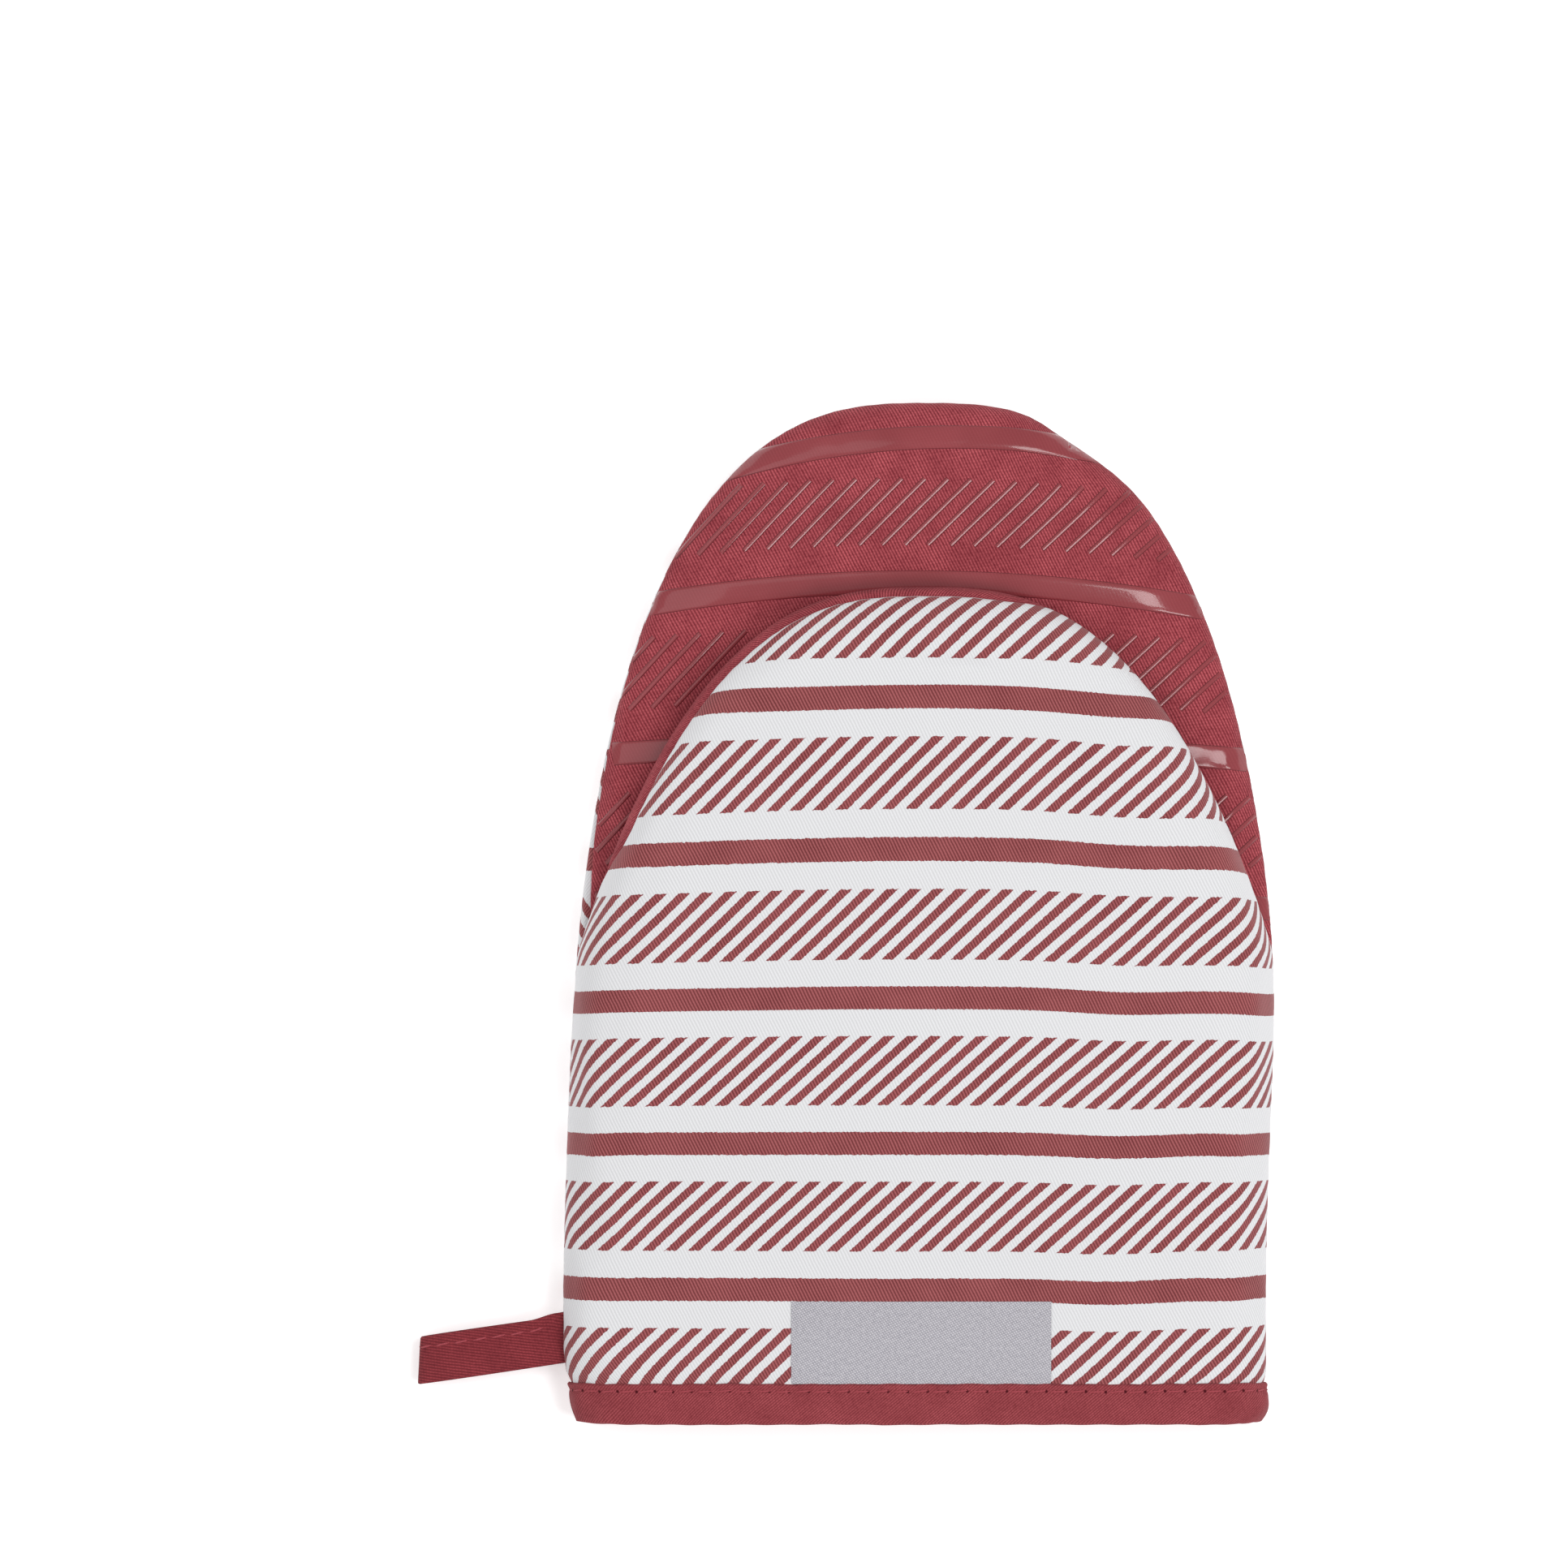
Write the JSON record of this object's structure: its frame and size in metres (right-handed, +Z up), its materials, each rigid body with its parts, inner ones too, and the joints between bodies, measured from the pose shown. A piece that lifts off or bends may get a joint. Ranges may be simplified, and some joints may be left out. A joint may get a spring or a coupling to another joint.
{
  "type": "oven mitt",
  "caption": "Padded pinch oven mitt with finger and thumb pockets, red grips with raised bars, a bound wrist opening and a hanging loop.",
  "frame": {"origin": "middle of the outline on the underside, where the back panel lies on the table", "axes": "+X across the mitt, +Y from the cuff to the fingertips, +Z up from the back panel to the front panel"},
  "size_m": [0.1713, 0.203, 0.029],
  "materials": {
    "striped_cotton": "matte cotton twill, white with printed red stripes and hatching",
    "red_twill": "matte cotton twill",
    "red_tape": "matte twill tape",
    "batting": "soft matte wadding",
    "lining_cotton": "matte plain weave",
    "red_silicone": "glossy printed silicone",
    "red_thread": "sewing thread with a slight sheen",
    "grey_satin": "woven satin"
  },
  "bodies": {
    "hand_side": {"back_shell": "striped_cotton", "back_wadding": "batting", "back_lining": "lining_cotton", "finger_grip_shell": "red_twill", "finger_grip_wadding": "batting", "finger_grip_lining": "lining_cotton", "front_shell": "striped_cotton", "front_lining": "lining_cotton", "front_wadding_wrist": "batting", "finger_grip_bar_1": "red_silicone", "finger_grip_bar_2": "red_silicone", "finger_grip_bar_3": "red_silicone", "finger_grip_bar_4": "red_silicone", "cuff_binding": "red_tape", "cuff_stitching": "red_thread", "outer_seam_thread": "red_thread", "crease_seam_thread": "red_thread", "label": "grey_satin"},
    "thumb_side": {"thumb_grip_shell": "red_twill", "thumb_grip_wadding": "batting", "thumb_grip_lining": "lining_cotton", "front_wadding_thumb": "batting", "thumb_grip_bar_1": "red_silicone", "thumb_grip_bar_2": "red_silicone", "thumb_seam_thread": "red_thread"},
    "loop": {"hanging_loop": "red_tape", "loop_stitching": "red_thread"}
  },
  "joints": [
    {"name": "mouth", "type": "hinge", "parent": "hand_side", "child": "thumb_side", "pos_m": [0, -0.0095, 0.0146], "axis": [1, 0, 0], "range_deg": [0, 60], "deforming": ["front_shell", "front_lining"]},
    {"name": "loop_swing", "type": "hinge", "parent": "hand_side", "child": "loop", "pos_m": [-0.0716, -0.085, 0.0065], "axis": [-0.1478, 0.989, 0], "range_deg": [0, 90]}
  ]
}
